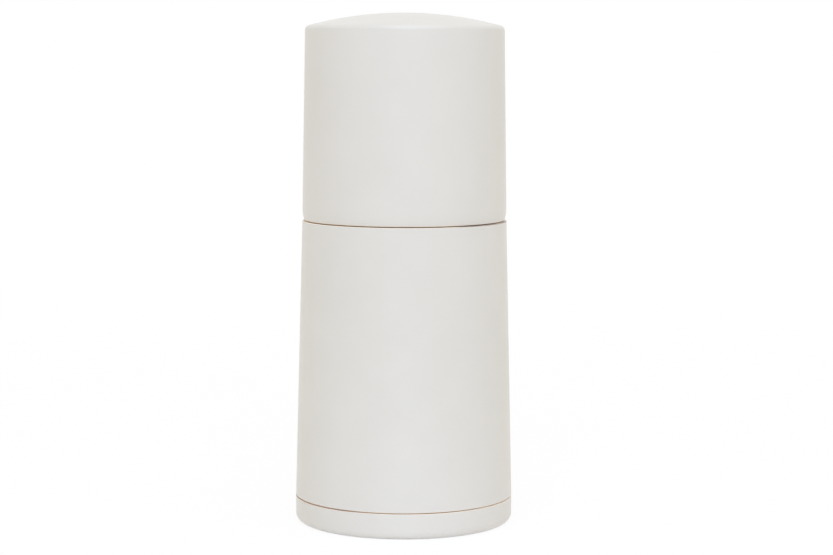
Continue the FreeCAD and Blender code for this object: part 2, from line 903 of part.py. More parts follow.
def pusher_tube():
    """Splined tube that slides in the guide. The spring stands on a floor half way up its bore."""
    tube = revolved(
        (tube_bore, foot_top),
        (tube_radius, foot_top),
        (tube_radius, collar_bottom),
        (stop_radius, collar_bottom),
        (stop_radius, tube_top),
        (tube_bore, tube_top),
    )
    wall_middle = (tube_bore + tube_radius) / 2
    hub_end = foot_top + foot_hub_height
    seat_bottom = spring_seat - spring_seat_thickness
    floor = ring(0, wall_middle, seat_bottom, spring_seat)
    spline_bottom = foot_top + spline_foot_gap
    spline_ring = ring(wall_middle, spline_radius, spline_bottom, collar_bottom)
    spline_bars = [bar(0, guide_radius, spline_width, spline_bottom, collar_bottom, angle)
                   for angle in angles(spline_count)]
    splines = [spline_ring.common(spline_bar) for spline_bar in spline_bars]
    rib_bottom = hub_end - cross_rib_grip
    ribs = [bar(0, wall_middle, cross_rib_thickness, rib_bottom, seat_bottom, angle)
            for angle in angles(spline_count)]
    boss = pin(boss_radius, hub_end, seat_bottom)
    pusher = joined(tube, [floor, boss] + splines + ribs)
    pilot_top = claw_plate_bottom + claw_screw_length + screw_point
    return pusher.cut(pin(claw_screw_shank + thread_clearance, foot_top, pilot_top))


def peg_angles():
    """Directions of the pegs that stop the claw plate turning on the foot."""
    return angles(peg_count, peg_direction)


def pusher_foot():
    """Disc that presses the spice down, with a hub that keys into the tube."""
    hub_top_height = foot_top + foot_hub_height
    foot = revolved(
        (claw_screw_shank + hole_clearance, foot_bottom),
        (foot_radius, foot_bottom),
        (foot_radius, foot_top - foot_edge_bevel),
        (foot_radius - foot_edge_bevel, foot_top),
        (tube_bore - foot_fit, foot_top),
        (tube_bore - foot_fit, hub_top_height),
        (claw_screw_shank + hole_clearance, hub_top_height),
    )
    slot_width = cross_rib_thickness + 2 * foot_fit
    slot_bottom = hub_top_height - cross_rib_grip - foot_fit
    slots = [bar(0, tube_bore, slot_width, slot_bottom, hub_top_height, angle)
             for angle in angles(spline_count)]
    pegs = [pin(peg_radius, claw_plate_bottom, foot_bottom, peg_circle, angle)
            for angle in peg_angles()]
    return joined(foot.cut(slots), pegs)


def claw(circle, angle):
    """Pointed prong bent down from the claw plate, and the hole that it leaves."""
    half = claw_width / 2
    back = -claw_thickness / 2
    front = claw_thickness / 2
    prong = prism(
        [
            Vector(circle - half, back, foot_bottom),
            Vector(circle + half, back, foot_bottom),
            Vector(circle + half, back, claw_plate_bottom),
            Vector(circle, back, claw_tip),
            Vector(circle - half, back, claw_plate_bottom),
        ],
        Vector(0, claw_thickness, 0),
    )
    window = prism(
        [
            Vector(circle - half, front, claw_plate_bottom),
            Vector(circle + half, front, claw_plate_bottom),
            Vector(circle, front + claw_drop, claw_plate_bottom),
        ],
        Vector(0, 0, claw_thickness),
    )
    return turned(prong, angle), turned(window, angle)


def claw_plate():
    """Thin steel plate whose prongs grip the spice and drag it over the blade."""
    plate = ring(claw_screw_shank + hole_clearance, claw_plate_radius, claw_plate_bottom, foot_bottom)
    half_step = 180.0 / claws_per_row
    claws = [claw(inner_claw_circle, angle) for angle in angles(claws_per_row)]
    claws += [claw(outer_claw_circle, angle) for angle in angles(claws_per_row, half_step)]
    prongs = [prong for prong, window in claws]
    windows = [window for prong, window in claws]
    peg_holes = [pin(peg_radius + foot_fit, claw_plate_bottom, foot_bottom, peg_circle, angle)
                 for angle in peg_angles()]
    return joined(plate.cut(windows + peg_holes), prongs)


def claw_screw():
    """Screw that holds the claw plate and the foot to the pusher tube."""
    return screw(claw_plate_bottom, claw_screw_length, claw_screw_head,
                 claw_screw_head_height, claw_screw_shank)


pieces = [
    base_cap,
    cap_liner,
    cap_seal,
    body_shell,
    chamber_sleeve,
    blade_disc,
    blade_ring,
    ring_screws,
    thrust_washer,
    bearing_ring,
    grip_ring,
    neck_clip,
    handle_shell,
    handle_core,
    core_screws,
    spring_cap,
    pressure_spring,
    pusher_tube,
    pusher_foot,
    claw_plate,
    claw_screw,
]

os.makedirs("parts", exist_ok=True)
for piece in pieces:
    shape = piece()
    shape.exportStep("parts/" + piece.__name__ + ".step")
    solids = len(shape.Solids)
    print(f"{piece.__name__}: {solids} solid, {shape.Volume:.0f} mm3, valid {shape.isValid()}")
print(f"least gap between the spring's turns: {spring_least_gap():.2f} mm")
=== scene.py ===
"""Looks of the twist spice mill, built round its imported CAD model.

Metres, +Z up, and the front that the photograph shows is -Y. Outlines are given in millimetres, as the
part's source gives them, and turned into metres where a mesh is made.
"""

import math

import bmesh
import bpy
from mathutils import Euler, Matrix, Vector


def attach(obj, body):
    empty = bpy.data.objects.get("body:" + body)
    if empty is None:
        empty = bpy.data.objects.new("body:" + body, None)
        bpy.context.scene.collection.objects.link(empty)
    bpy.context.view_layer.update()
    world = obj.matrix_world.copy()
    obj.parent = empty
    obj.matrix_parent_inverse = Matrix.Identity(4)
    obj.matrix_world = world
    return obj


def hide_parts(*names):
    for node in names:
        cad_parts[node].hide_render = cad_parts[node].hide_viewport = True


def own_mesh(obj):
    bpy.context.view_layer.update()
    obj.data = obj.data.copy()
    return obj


MM = 0.001

# Camera, fitted to the photograph
camera_place = (0.00308, -0.6207, 0.1276)
camera_pitch = 0.09986          # radians below the level
camera_roll = 0.003             # radians
camera_lens = 100.8             # millimetres, for a film of the width below
film_width = 36.0
nearest_seen = 0.01
farthest_seen = 50.0

# World, lamps and floor. Powers in watts, and colours of light as linear shares
sky_strength = 0.65
sky_colour = (1.0, 0.947, 0.79)
front_power = 8.3
front_colour = (0.572, 0.722, 1.0)
front_size = 0.9
front_place = (0.0, -1.15, 0.9)
front_target = (0.0, 0.0, 0.06)
foot_power = 0.0021             # small lamp whose narrow beam makes up for the floor's shade on the foot
foot_colour = (0.62, 0.77, 1.0)
foot_size = 0.08
foot_place = (0.0, -0.9, 0.045)
foot_target = (0.0, 0.0, -0.02)
foot_beam = 8.0                 # degrees
open_beam = 180.0               # degrees
top_power = 7.6
top_colour = (0.75, 0.87, 1.0)
top_size = 1.2
top_place = (0.1, -0.2, 1.5)
top_target = (0.0, 0.0, 0.05)
floor_size = 40.0
floor_glow = 0.92               # share of plain white under the mill, which keeps its shadow light
glow_start = 0.05               # distances from the mill's axis between which the floor turns white
glow_end = 0.6
white = (1.0, 1.0, 1.0, 1.0)

# Outside form, in millimetres
grip_radius = 27.2
body_flare = 1.8
handle_draft = 0.8
cap_height = 6.95
body_foot = 7.15
body_top = 80.75                # 0.05 over the solid's, for as fine a seam as the photograph shows
handle_foot = 81.0
handle_height = 51.2
dome_rise = 3.6
cap_foot_rounding = 2.2
seam_rounding = 0.15
rim_rounding = 1.4
roll_height = 2.9               # lowest part of the handle's side, which rolls inwards
roll_inset = 0.45
handle_foot_rounding = 0.1

# Insides of the outer pieces, in millimetres
cap_recess = 0.8
cap_inside = 2.8
cap_bore = 26.9
standing_radius = 23.5
stake_circle = 20.0
stake_radius = 1.5
stake_head_radius = 2.3
stake_head_rounding = 0.5
stake_end_radius = 0.4          # flat that closes a stake
liner_floor = 4.0
stake_top = 4.6
mouth_radius = 27.1
body_wall = 2.6
ledge = 19.5
shoulder_bottom = 78.2
shoulder_rounding = 1.0
neck_hole = 20.72
body_post_circle = 23.22
body_post_radius = 2.2
rib_thickness = 1.6
handle_bore = 25.0
web_top = 94.9
upper_wall = 2.6
dome_wall = 2.4
handle_post_circle = 15.6
handle_post_radius = 2.6
handle_rib_start = 97.4
crown_inner = 9.5
crown_outer = 12.0
crown_bottom = 129.6
edge_rounding = 0.15
post_directions = (0, 120, 240)

# Silicone bands, in millimetres
band_ridge = 0.3
seal_inner = 25.65
seal_crest = 27.02
seal_bottom = 9.45
seal_height = 1.8
grip_inner = 21.75
grip_crest = 22.7
grip_bottom = 86.6
grip_height = 1.6

# Spring, in millimetres
spring_radius = 6.45
spring_wire = 0.9
spring_turns = 10
spring_seat = 60.0              # height that its lower end stands on
spring_top = 126.5              # height that its upper end presses against
spring_end_gap = 0.08
spring_end_pitch = 1.45

# Fineness of the meshes
around = 224                    # vertices round the mill's axis
arc_step = math.radians(7.5)
roll_steps = 10
dome_steps = 16
post_sides = 40
wire_sides = 16
samples_per_turn = 48
crease_angle = 35               # degrees between two faces from which the edge between them stays sharp
soft_crease_angle = 50          # the same, on the bands and the spring

# Painted light and shade in the seams. Directions and arcs in degrees, from the front towards the right
seam_reach = 0.07               # how far the seams' painted colours go round their edges, in millimetres
flat_from = 0.99                # upright part of the normal from which a face counts as flat
upper_painted_shade_direction = 68.0     # middle of the painted shade on one side of each seam
lower_painted_shade_direction = -60.0
painted_shade_arc = 26.0                 # to each side of the direction, fully painted
painted_shade_end = 42.0                 # to each side of the direction, where it ends

# Surfaces
noise_low = 0.3                 # most of a noise's values lie between these two
noise_high = 0.7
grain_roughness = 0.05          # how far a moulding's roughness goes up and down with its grain
ripple_share = 1.5              # depth of a moulding's slow ripple, as a share of its grain's
wire_lines = (6.0, 40.0, 1.0)   # how often draw lines start along a turn of the spring, and round its wire

# Colours, as they are seen in the photograph or would be, 0 to 255
shell_colour = (220.3, 214.2, 207.9)
land_painted_light_colour = (252, 244, 232)   # painted warm light on the seams' faces that look up, and its flecks
land_painted_fleck_colour = (244, 230, 212)
lip_painted_light_colour = (255, 224, 178)    # painted warm bounce light on the seams' faces that look down, and its flecks
lip_painted_fleck_colour = (246, 200, 148)
# painted shade: dark on the upper seam's right side, lighter on the lower seam's left side
upper_painted_shade_colour = (50, 34, 25)
lower_painted_shade_colour = (190, 150, 120)
inner_colour = (196, 184, 168)
bearing_colour = (228, 225, 217)
silicone_colour = (168, 158, 146)
blade_colour = (196, 196, 194)
spring_colour = (182, 182, 184)
screw_colour = (188, 187, 184)
floor_colour = (255, 255, 255)

# Measures that follow from those above, in millimetres
base_radius = grip_radius + body_flare
rim_radius = grip_radius - handle_draft
rim_height = handle_foot + handle_height


def linear(colour):
    """Colour written as 0 to 255, as the linear value that shaders take, by the sRGB curve."""
    parts = []
    for part in colour:
        share = part / 255
        parts.append(share / 12.92 if share <= 0.04045 else ((share + 0.055) / 1.055) ** 2.4)
    return (*parts, 1.0)


def scaled(colour, factor):
    """Linear colour made lighter or darker."""
    return (*[min(part * factor, 1.0) for part in colour[:3]], 1.0)


# Camera, world, lamps and floor


def make_camera():
    """Camera that looks slightly down at the mill's front."""
    data = bpy.data.cameras.new("camera")
    data.sensor_width = film_width
    data.lens = camera_lens
    data.clip_start = nearest_seen
    data.clip_end = farthest_seen
    camera = bpy.data.objects.new("camera", data)
    camera.location = camera_place
    camera.rotation_euler = Euler((math.pi / 2 - camera_pitch, -camera_roll, 0.0))
    bpy.context.scene.collection.objects.link(camera)
    bpy.context.scene.camera = camera


def looked_at(tree):
    """One where the camera, a reflection or a refraction looks, and nought where light is gathered."""
    path = tree.nodes.new("ShaderNodeLightPath")
    seen = path.outputs["Is Camera Ray"]
    for name in ("Is Glossy Ray", "Is Transmission Ray"):
        either = tree.nodes.new("ShaderNodeMath")
        either.operation = "MAXIMUM"
        tree.links.new(seen, either.inputs[0])
        tree.links.new(path.outputs[name], either.inputs[1])
        seen = either.outputs["Value"]
    return seen


def make_world():
    """White wherever something looks at it, and a soft even sky for the rest."""
    world = bpy.data.worlds.new("studio")
    world.use_nodes = True
    tree = world.node_tree
    sky = tree.nodes["Background"]
    sky.inputs["Color"].default_value = (*sky_colour, 1.0)
    sky.inputs["Strength"].default_value = sky_strength
    backdrop = tree.nodes.new("ShaderNodeBackground")
    backdrop.inputs["Color"].default_value = white
    backdrop.inputs["Strength"].default_value = 1.0
    mix = tree.nodes.new("ShaderNodeMixShader")
    tree.links.new(looked_at(tree), mix.inputs["Fac"])
    tree.links.new(sky.outputs["Background"], mix.inputs[1])
    tree.links.new(backdrop.outputs["Background"], mix.inputs[2])
    tree.links.new(mix.outputs["Shader"], tree.nodes["World Output"].inputs["Surface"])
    bpy.context.scene.world = world


def make_lamp(name, power, colour, size, place, target, beam=open_beam):
    """Square soft lamp turned towards a point."""
    data = bpy.data.lights.new(name, "AREA")
    data.size = size
    data.spread = math.radians(beam)
    data.energy = power
    data.color = colour
    lamp = bpy.data.objects.new(name, data)
    lamp.location = place
    lamp.rotation_euler = (Vector(target) - Vector(place)).to_track_quat("-Z", "Y").to_euler()
    bpy.context.scene.collection.objects.link(lamp)


def floor_whiteness(tree):
    """Share of plain white that the floor shows: less near the mill, and none where light is gathered."""
    away = tree.nodes.new("ShaderNodeVectorMath")
    away.operation = "LENGTH"
    tree.links.new(tree.nodes.new("ShaderNodeTexCoord").outputs["Object"], away.inputs[0])
    fading = tree.nodes.new("ShaderNodeMapRange")
    fading.interpolation_type = "SMOOTHSTEP"
    fading.inputs["From Min"].default_value = glow_start
    fading.inputs["From Max"].default_value = glow_end
    fading.inputs["To Min"].default_value = floor_glow
    fading.inputs["To Max"].default_value = 1.0
    tree.links.new(away.outputs["Value"], fading.inputs["Value"])
    share = tree.nodes.new("ShaderNodeMath")
    share.operation = "MULTIPLY"
    tree.links.new(looked_at(tree), share.inputs[0])
    tree.links.new(fading.outputs["Result"], share.inputs[1])
    return share.outputs["Value"]


def make_floor():
    """Pale floor that keeps the mill's soft shadow and otherwise meets the white background."""
    half = floor_size / 2
    mesh = bpy.data.meshes.new("floor")
    mesh.from_pydata([(-half, -half, 0), (half, -half, 0), (half, half, 0), (-half, half, 0)],
                     [], [(0, 1, 2, 3)])
    floor = bpy.data.objects.new("floor", mesh)
    bpy.context.scene.collection.objects.link(floor)
    material = bpy.data.materials.new("floor")
    material.use_nodes = True
    tree = material.node_tree
    tree.nodes.remove(tree.nodes["Principled BSDF"])
    paper = tree.nodes.new("ShaderNodeBsdfDiffuse")
    paper.inputs["Color"].default_value = linear(floor_colour)
    glow = tree.nodes.new("ShaderNodeEmission")
    glow.inputs["Color"].default_value = white
    glow.inputs["Strength"].default_value = 1.0
    mix = tree.nodes.new("ShaderNodeMixShader")
    tree.links.new(floor_whiteness(tree), mix.inputs["Fac"])
    tree.links.new(paper.outputs["BSDF"], mix.inputs[1])
    tree.links.new(glow.outputs["Emission"], mix.inputs[2])
    tree.links.new(mix.outputs["Shader"], tree.nodes["Material Output"].inputs["Surface"])
    mesh.materials.append(material)


# Materials. Sizes and depths in millimetres


def new_material(name):
    """Fresh material, with its node tree and its shader."""
    material = bpy.data.materials.new(name)
    material.use_nodes = True
    return material, material.node_tree, material.node_tree.nodes["Principled BSDF"]


def noise(tree, place, size, detail, stretch=(1.0, 1.0, 1.0)):
    """Noise with blotches of about a size, longer along an axis with a small stretch."""
    mapping = tree.nodes.new("ShaderNodeMapping")
    mapping.inputs["Scale"].default_value = stretch
    texture = tree.nodes.new("ShaderNodeTexNoise")
    texture.inputs["Scale"].default_value = 1 / (size * MM)
    texture.inputs["Detail"].default_value = detail
    tree.links.new(place, mapping.inputs["Vector"])
    tree.links.new(mapping.outputs["Vector"], texture.inputs["Vector"])
    return texture.outputs["Fac"]


def spread(tree, value, low, high):
    """The middle of a noise's values, spread between two numbers."""
    spreading = tree.nodes.new("ShaderNodeMapRange")
    spreading.inputs["From Min"].default_value = noise_low
    spreading.inputs["From Max"].default_value = noise_high
    spreading.inputs["To Min"].default_value = low
    spreading.inputs["To Max"].default_value = high
    tree.links.new(value, spreading.inputs["Value"])
    return spreading.outputs["Result"]


def tinted(tree, value, start, end):
    """Colour that goes from one linear colour to another with a noise."""
    ramp = tree.nodes.new("ShaderNodeValToRGB")
    ramp.color_ramp.elements[0].position = noise_low
    ramp.color_ramp.elements[0].color = start
    ramp.color_ramp.elements[1].position = noise_high
    ramp.color_ramp.elements[1].color = end
    tree.links.new(value, ramp.inputs["Fac"])
    return ramp.outputs["Color"]


def clouded(tree, value, colour, darkest, lightest):
    """Colour made darker and lighter with a noise, between two shares of it."""
    tone = linear(colour)
    return tinted(tree, value, scaled(tone, darkest), scaled(tone, lightest))


def bump(tree, height, depth, before=None):
    """Bump of a depth, laid over another bump if one is given."""
    bumping = tree.nodes.new("ShaderNodeBump")
    bumping.inputs["Strength"].default_value = 1.0
    bumping.inputs["Distance"].default_value = depth * MM
    tree.links.new(height, bumping.inputs["Height"])
    if before is not None:
        tree.links.new(before, bumping.inputs["Normal"])
    return bumping.outputs["Normal"]


def moulded_plastic(name, colour, roughness, grain, depth, mottle):
    """Moulded plastic: spark-eroded grain, a slow ripple, and faint clouding of the colour."""
    material, tree, shader = new_material(name)
    place = tree.nodes.new("ShaderNodeTexCoord").outputs["Object"]
    clouds = noise(tree, place, size=14.0, detail=3.0)
    tree.links.new(clouded(tree, clouds, colour, darkest=1 - mottle, lightest=1 + mottle),
                   shader.inputs["Base Color"])
    fine = noise(tree, place, size=grain, detail=3.0)
    tree.links.new(spread(tree, fine, roughness - grain_roughness, roughness + grain_roughness),
                   shader.inputs["Roughness"])
    ripple = noise(tree, place, size=4.0, detail=1.0)
    slow = bump(tree, ripple, depth * ripple_share)
    tree.links.new(bump(tree, fine, depth, slow), shader.inputs["Normal"])
    shader.inputs["IOR"].default_value = 1.46
    return material


def painted_shade_on_arc(tree, place, colour, painted_shade, direction, radius):
    """Colour that goes over to a painted shade on an arc round the mill's axis."""
    angle = math.radians(direction)
    towards = tree.nodes.new("ShaderNodeVectorMath")
    towards.operation = "DOT_PRODUCT"
    towards.inputs[1].default_value = (math.sin(angle), -math.cos(angle), 0.0)
    tree.links.new(place, towards.inputs[0])
    painted_share = tree.nodes.new("ShaderNodeMapRange")
    painted_share.interpolation_type = "SMOOTHSTEP"
    painted_share.inputs["From Min"].default_value = radius * MM * math.cos(math.radians(painted_shade_end))
    painted_share.inputs["From Max"].default_value = radius * MM * math.cos(math.radians(painted_shade_arc))
    tree.links.new(towards.outputs["Value"], painted_share.inputs["Value"])
    mix = tree.nodes.new("ShaderNodeMixRGB")
    mix.inputs["Color2"].default_value = linear(painted_shade)
    tree.links.new(painted_share.outputs["Result"], mix.inputs["Fac"])
    tree.links.new(colour, mix.inputs["Color1"])
    return mix.outputs["Color"]


def seam_painted_plastic(name, colour, fleck, painted_shade=None):
    """The shell's plastic in a seam: painted warm light flecked by a noise, with painted shade on one side
    if asked.
    """
    material, tree, shader = new_material(name)
    place = tree.nodes.new("ShaderNodeTexCoord").outputs["Object"]
    specks = noise(tree, place, size=0.5, detail=5.0)
    tint = tinted(tree, specks, linear(fleck), linear(colour))
    if painted_shade is not None:
        tint = painted_shade_on_arc(tree, place, tint, *painted_shade)
    tree.links.new(tint, shader.inputs["Base Color"])
    tree.links.new(spread(tree, specks, low=0.8, high=0.5), shader.inputs["Roughness"])
    tree.links.new(bump(tree, specks, depth=0.01), shader.inputs["Normal"])
    return material


def silicone_rubber(name, colour):
    """Soft silicone: smooth, a little translucent, with a dusty sheen."""
    material, tree, shader = new_material(name)
    place = tree.nodes.new("ShaderNodeTexCoord").outputs["Object"]
    clouds = noise(tree, place, size=3.0, detail=3.0)
    tree.links.new(clouded(tree, clouds, colour, darkest=0.94, lightest=1.05), shader.inputs["Base Color"])
    fleck = noise(tree, place, size=0.4, detail=4.0)
    tree.links.new(spread(tree, fleck, low=0.5, high=0.68), shader.inputs["Roughness"])
    tree.links.new(bump(tree, fleck, depth=0.004), shader.inputs["Normal"])
    shader.inputs["Subsurface Weight"].default_value = 0.15
    shader.inputs["Subsurface Radius"].default_value = (1.0, 0.8, 0.6)
    shader.inputs["Subsurface Scale"].default_value = 0.0006
    shader.inputs["Sheen Weight"].default_value = 0.15
    shader.inputs["IOR"].default_value = 1.41
    return material


def rolled_steel(name, colour, stretch, line, depth):
    """Stainless steel with fine lines that run along the axis with the small stretch."""
    material, tree, shader = new_material(name)
    place = tree.nodes.new("ShaderNodeTexCoord").outputs["Object"]
    lines = noise(tree, place, size=line, detail=4.0, stretch=stretch)
    stains = noise(tree, place, size=6.0, detail=3.0)
    tree.links.new(clouded(tree, stains, colour, darkest=0.93, lightest=1.04), shader.inputs["Base Color"])
    tree.links.new(spread(tree, lines, low=0.26, high=0.42), shader.inputs["Roughness"])
    tree.links.new(bump(tree, lines, depth), shader.inputs["Normal"])
    shader.inputs["Metallic"].default_value = 1.0
    return material


def drawn_wire(name, colour):
    """Bright wire with draw lines along it. The mesh gives the way along and round the wire."""
    material, tree, shader = new_material(name)
    mapping = tree.nodes.new("ShaderNodeMapping")
    mapping.inputs["Scale"].default_value = wire_lines
    texture = tree.nodes.new("ShaderNodeTexNoise")
    texture.inputs["Scale"].default_value = 1.0
    texture.inputs["Detail"].default_value = 3.0
    tree.links.new(tree.nodes.new("ShaderNodeTexCoord").outputs["UV"], mapping.inputs["Vector"])
    tree.links.new(mapping.outputs["Vector"], texture.inputs["Vector"])
    lines = texture.outputs["Fac"]
    tree.links.new(clouded(tree, lines, colour, darkest=0.85, lightest=1.05), shader.inputs["Base Color"])
    tree.links.new(spread(tree, lines, low=0.18, high=0.32), shader.inputs["Roughness"])
    tree.links.new(bump(tree, lines, depth=0.003), shader.inputs["Normal"])
    shader.inputs["Metallic"].default_value = 1.0
    return material


# Outlines and meshes. A point is (radius, height, rounding) in millimetres


def arc(centre, radius, start, end):
    """Points on an arc of an outline, with both its ends. Angles in radians from outwards."""
    count = max(2, math.ceil(abs(end - start) / arc_step))
    points = []
    for index in range(count + 1):
        angle = start + (end - start) * index / count
        points.append((centre[0] + radius * math.cos(angle), centre[1] + radius * math.sin(angle)))
    return points


def arc_radius(half_width, rise):
    """Radius of an arc, from half its chord and its rise."""
    return (half_width ** 2 + rise ** 2) / (2 * rise)


def rounded(outline):
    """Closed outline with each corner that has a rounding replaced by an arc."""
    result = []
    for index, (x, y, rounding) in enumerate(outline):
        if rounding == 0:
            result.append((x, y))
            continue
        corner = Vector((x, y))
        back = (Vector(outline[index - 1][:2]) - corner).normalized()
        ahead = (Vector(outline[(index + 1) % len(outline)][:2]) - corner).normalized()
        half = back.angle(ahead) / 2
        centre = corner + (back + ahead).normalized() * (rounding / math.sin(half))
        reach = rounding / math.tan(half)
        first = corner + back * reach - centre
        last = corner + ahead * reach - centre
        start = math.atan2(first.y, first.x)
        turn = (math.atan2(last.y, last.x) - start + math.pi) % (2 * math.pi) - math.pi
        result += arc(centre, rounding, start, start + turn)
    return result


def level_ring(bm, middle, radius, height, count):
    """Adds a level circle of vertices round an upright line through a point."""
    ring = []
    for index in range(count):
        angle = 2 * math.pi * index / count
        offset = Vector((radius * MM * math.cos(angle), radius * MM * math.sin(angle), height * MM))
        ring.append(bm.verts.new(middle + offset))
    return ring


def lathe(bm, outline):
    """Adds the full turn of a closed outline. Points on the axis become one vertex."""
    axis = Vector((0, 0, 0))
    rings = []
    for radius, height in outline:
        rings.append(level_ring(bm, axis, radius, height, 1 if radius == 0 else around))
    for near, far in zip(rings, rings[1:] + rings[:1]):
        if len(near) == 1 and len(far) == 1:
            continue
        for index in range(around):
            after = (index + 1) % around
            corners = [near[index % len(near)], near[after % len(near)],
                       far[after % len(far)], far[index % len(far)]]
            bm.faces.new(list(dict.fromkeys(corners)))


def post(bm, outline, distance, direction):
    """Adds a small turned pin at a distance from the mill's axis."""
    angle = math.radians(direction)
    middle = Vector((distance * MM * math.cos(angle), distance * MM * math.sin(angle), 0))
    rings = []
    for radius, height in outline:
        rings.append(level_ring(bm, middle, radius, height, post_sides))
    for near, far in zip(rings, rings[1:]):
        for index in range(post_sides):
            after = (index + 1) % post_sides
            bm.faces.new([near[index], near[after], far[after], far[index]])
    bm.faces.new(rings[0])
    bm.faces.new(rings[-1])


def rib(bm, start, end, bottom, rib_top, direction):
    """Adds an upright rib that runs outwards in a direction."""
    made = bmesh.ops.create_cube(bm, size=1.0)["verts"]
    size = Vector((end - start, rib_thickness, rib_top - bottom)) * MM
    middle = Vector(((start + end) / 2, 0, (bottom + rib_top) / 2)) * MM
    turned = Matrix.Rotation(math.radians(direction), 4, "Z")
    placed = turned @ Matrix.Translation(middle) @ Matrix.Diagonal((*size, 1))
    bmesh.ops.transform(bm, verts=made, matrix=placed)


def finished_piece(name, bm, material, body, nodes, crease=crease_angle):
    """Turns a mesh into a piece that rides on a body and stands for its CAD nodes."""
    bmesh.ops.recalc_face_normals(bm, faces=bm.faces)
    mesh = bpy.data.meshes.new(name)
    bm.to_mesh(mesh)
    bm.free()
    mesh.shade_smooth()
    mesh.set_sharp_from_angle(angle=math.radians(crease))
    mesh.materials.append(material)
    piece = bpy.data.objects.new(name, mesh)
    bpy.context.scene.collection.objects.link(piece)
    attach(piece, body)
    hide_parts(*nodes)
    return piece


def paint_seam(piece, height, flat, edge):
    """Gives a piece's flat face at a seam, and the start of its edges, the materials with painted light
    and shade.
    """
    mesh = piece.data
    first = len(mesh.materials)
    mesh.materials.append(flat)
    mesh.materials.append(edge)
    for face in mesh.polygons:
        if abs(face.center.z - height * MM) < seam_reach * MM:
            face.material_index = first if abs(face.normal.z) > flat_from else first + 1


# Outer pieces


def body_side(height):
    """Radius of the body's outer cone at a height."""
    share = (height - body_foot) / (body_top - body_foot)
    return grip_radius + body_flare * (1 - share)


def handle_side(height):
    """Radius of the handle's outer cone at a height."""
    return grip_radius - handle_draft * (height - handle_foot) / handle_height


def base_cap_piece(material):
    """Low cover with a rounded foot, and the stakes that hold its liner."""
    bm = bmesh.new()
    lathe(bm, rounded([
        (0, cap_recess, 0),
        (standing_radius, cap_recess, edge_rounding),
        (standing_radius, 0, edge_rounding),
        (base_radius, 0, cap_foot_rounding),
        (base_radius, cap_height, seam_rounding),
        (cap_bore, cap_height, edge_rounding),
        (cap_bore, cap_inside, 0),
        (0, cap_inside, 0),
    ]))
    stake = rounded([
        (stake_end_radius, cap_inside, 0),
        (stake_radius, cap_inside, 0),
        (stake_radius, liner_floor, 0),
        (stake_head_radius, liner_floor, 0),
        (stake_head_radius, stake_top, stake_head_rounding),
        (stake_end_radius, stake_top, 0),
    ])
    for direction in post_directions:
        post(bm, stake, stake_circle, direction)
    return finished_piece("base_cap_shell", bm, material, "base", ["base_cap"])


def body_piece(material):
    """Tapered body with a shoulder at its top, screw posts, and ribs out to the wall."""
    bm = bmesh.new()
    lathe(bm, rounded([
        (mouth_radius, body_foot, edge_rounding),
        (base_radius, body_foot, seam_rounding),
        (grip_radius, body_top, seam_rounding),
        (neck_hole, body_top, edge_rounding),
        (neck_hole, shoulder_bottom, 0),
        (body_side(shoulder_bottom) - body_wall, shoulder_bottom, shoulder_rounding),
        (body_side(ledge) - body_wall, ledge, 0),
        (mouth_radius, ledge, 0),
    ]))
    rib_end = body_side(shoulder_bottom) - body_wall / 2
    for direction in post_directions:
        post(bm, [(body_post_radius, ledge), (body_post_radius, shoulder_bottom)],
             body_post_circle, direction)
        rib(bm, body_post_circle, rib_end, ledge, shoulder_bottom, direction)
    return finished_piece("body_outer", bm, material, "mill_body", ["body_shell"])


def dome_height(radius):
    """Height of the dome's outside at a radius."""
    sphere = arc_radius(rim_radius, dome_rise)
    return rim_height + dome_rise - sphere + math.sqrt(sphere ** 2 - radius ** 2)


def rim_and_dome():
    """Points of the rounded rim and the dome, from the side to the axis."""
    up = Vector((-handle_draft, handle_height)) / math.hypot(handle_draft, handle_height)
    sphere = arc_radius(rim_radius, dome_rise)
    sphere_centre = Vector((0, rim_height + dome_rise - sphere))
    # The rounding's centre lies one rounding inside both the side and the dome
    inset = Vector((rim_radius - rim_rounding * up.y, rim_height + rim_rounding * up.x))
    across = inset - sphere_centre
    along = across.dot(up)
    reach = math.sqrt(along ** 2 + (sphere - rim_rounding) ** 2 - across.dot(across)) - along
    centre = inset + up * reach
    out = centre - sphere_centre
    points = arc(centre, rim_rounding, math.atan2(-up.x, up.y), math.atan2(out.y, out.x))
    start = points[-1][0]
    for index in range(1, dome_steps):
        radius = start * (1 - index / dome_steps)
        points.append((radius, dome_height(radius)))
    points.append((0, dome_height(0)))
    return points


def handle_piece(material):
    """Domed handle whose side rolls inwards at its foot, with posts, ribs and a ring under the dome."""
    roll_top = handle_foot + roll_height
    roll_radius = handle_side(roll_top)
    rolled = roll_height - handle_foot_rounding
    roll = []
    for index in range(1, roll_steps):
        height = handle_foot + handle_foot_rounding + rolled * index / roll_steps
        share = (roll_top - height) / rolled
        roll.append((roll_radius - roll_inset * share ** 2, height))
    foot = rounded([
        (handle_bore, web_top, 0),
        (handle_bore, handle_foot, edge_rounding),
        (roll_radius - roll_inset, handle_foot, handle_foot_rounding),
        (*roll[0], 0),
    ])
    inner_rim = rim_radius - upper_wall
    ceiling = dome_height(0) - dome_wall
    inside = [
        (0, ceiling),
        (crown_outer, ceiling),
        (inner_rim, dome_height(inner_rim) - dome_wall),
        (handle_side(web_top) - upper_wall, web_top),
    ]
    bm = bmesh.new()
    lathe(bm, foot + roll[1:] + [(roll_radius, roll_top)] + rim_and_dome() + inside)
    post_top = dome_height(inner_rim) - dome_wall / 2
    rib_end = inner_rim + upper_wall / 2
    for direction in post_directions:
        post(bm, [(handle_post_radius, web_top), (handle_post_radius, post_top)],
             handle_post_circle, direction)
        rib(bm, handle_post_circle, rib_end, handle_rib_start, post_top, direction)
    lathe(bm, [
        (crown_inner, crown_bottom),
        (crown_outer, crown_bottom),
        (crown_outer, ceiling),
        (crown_inner, ceiling),
    ])
    return finished_piece("handle_outer", bm, material, "handle", ["handle_shell"])


# Silicone bands and spring


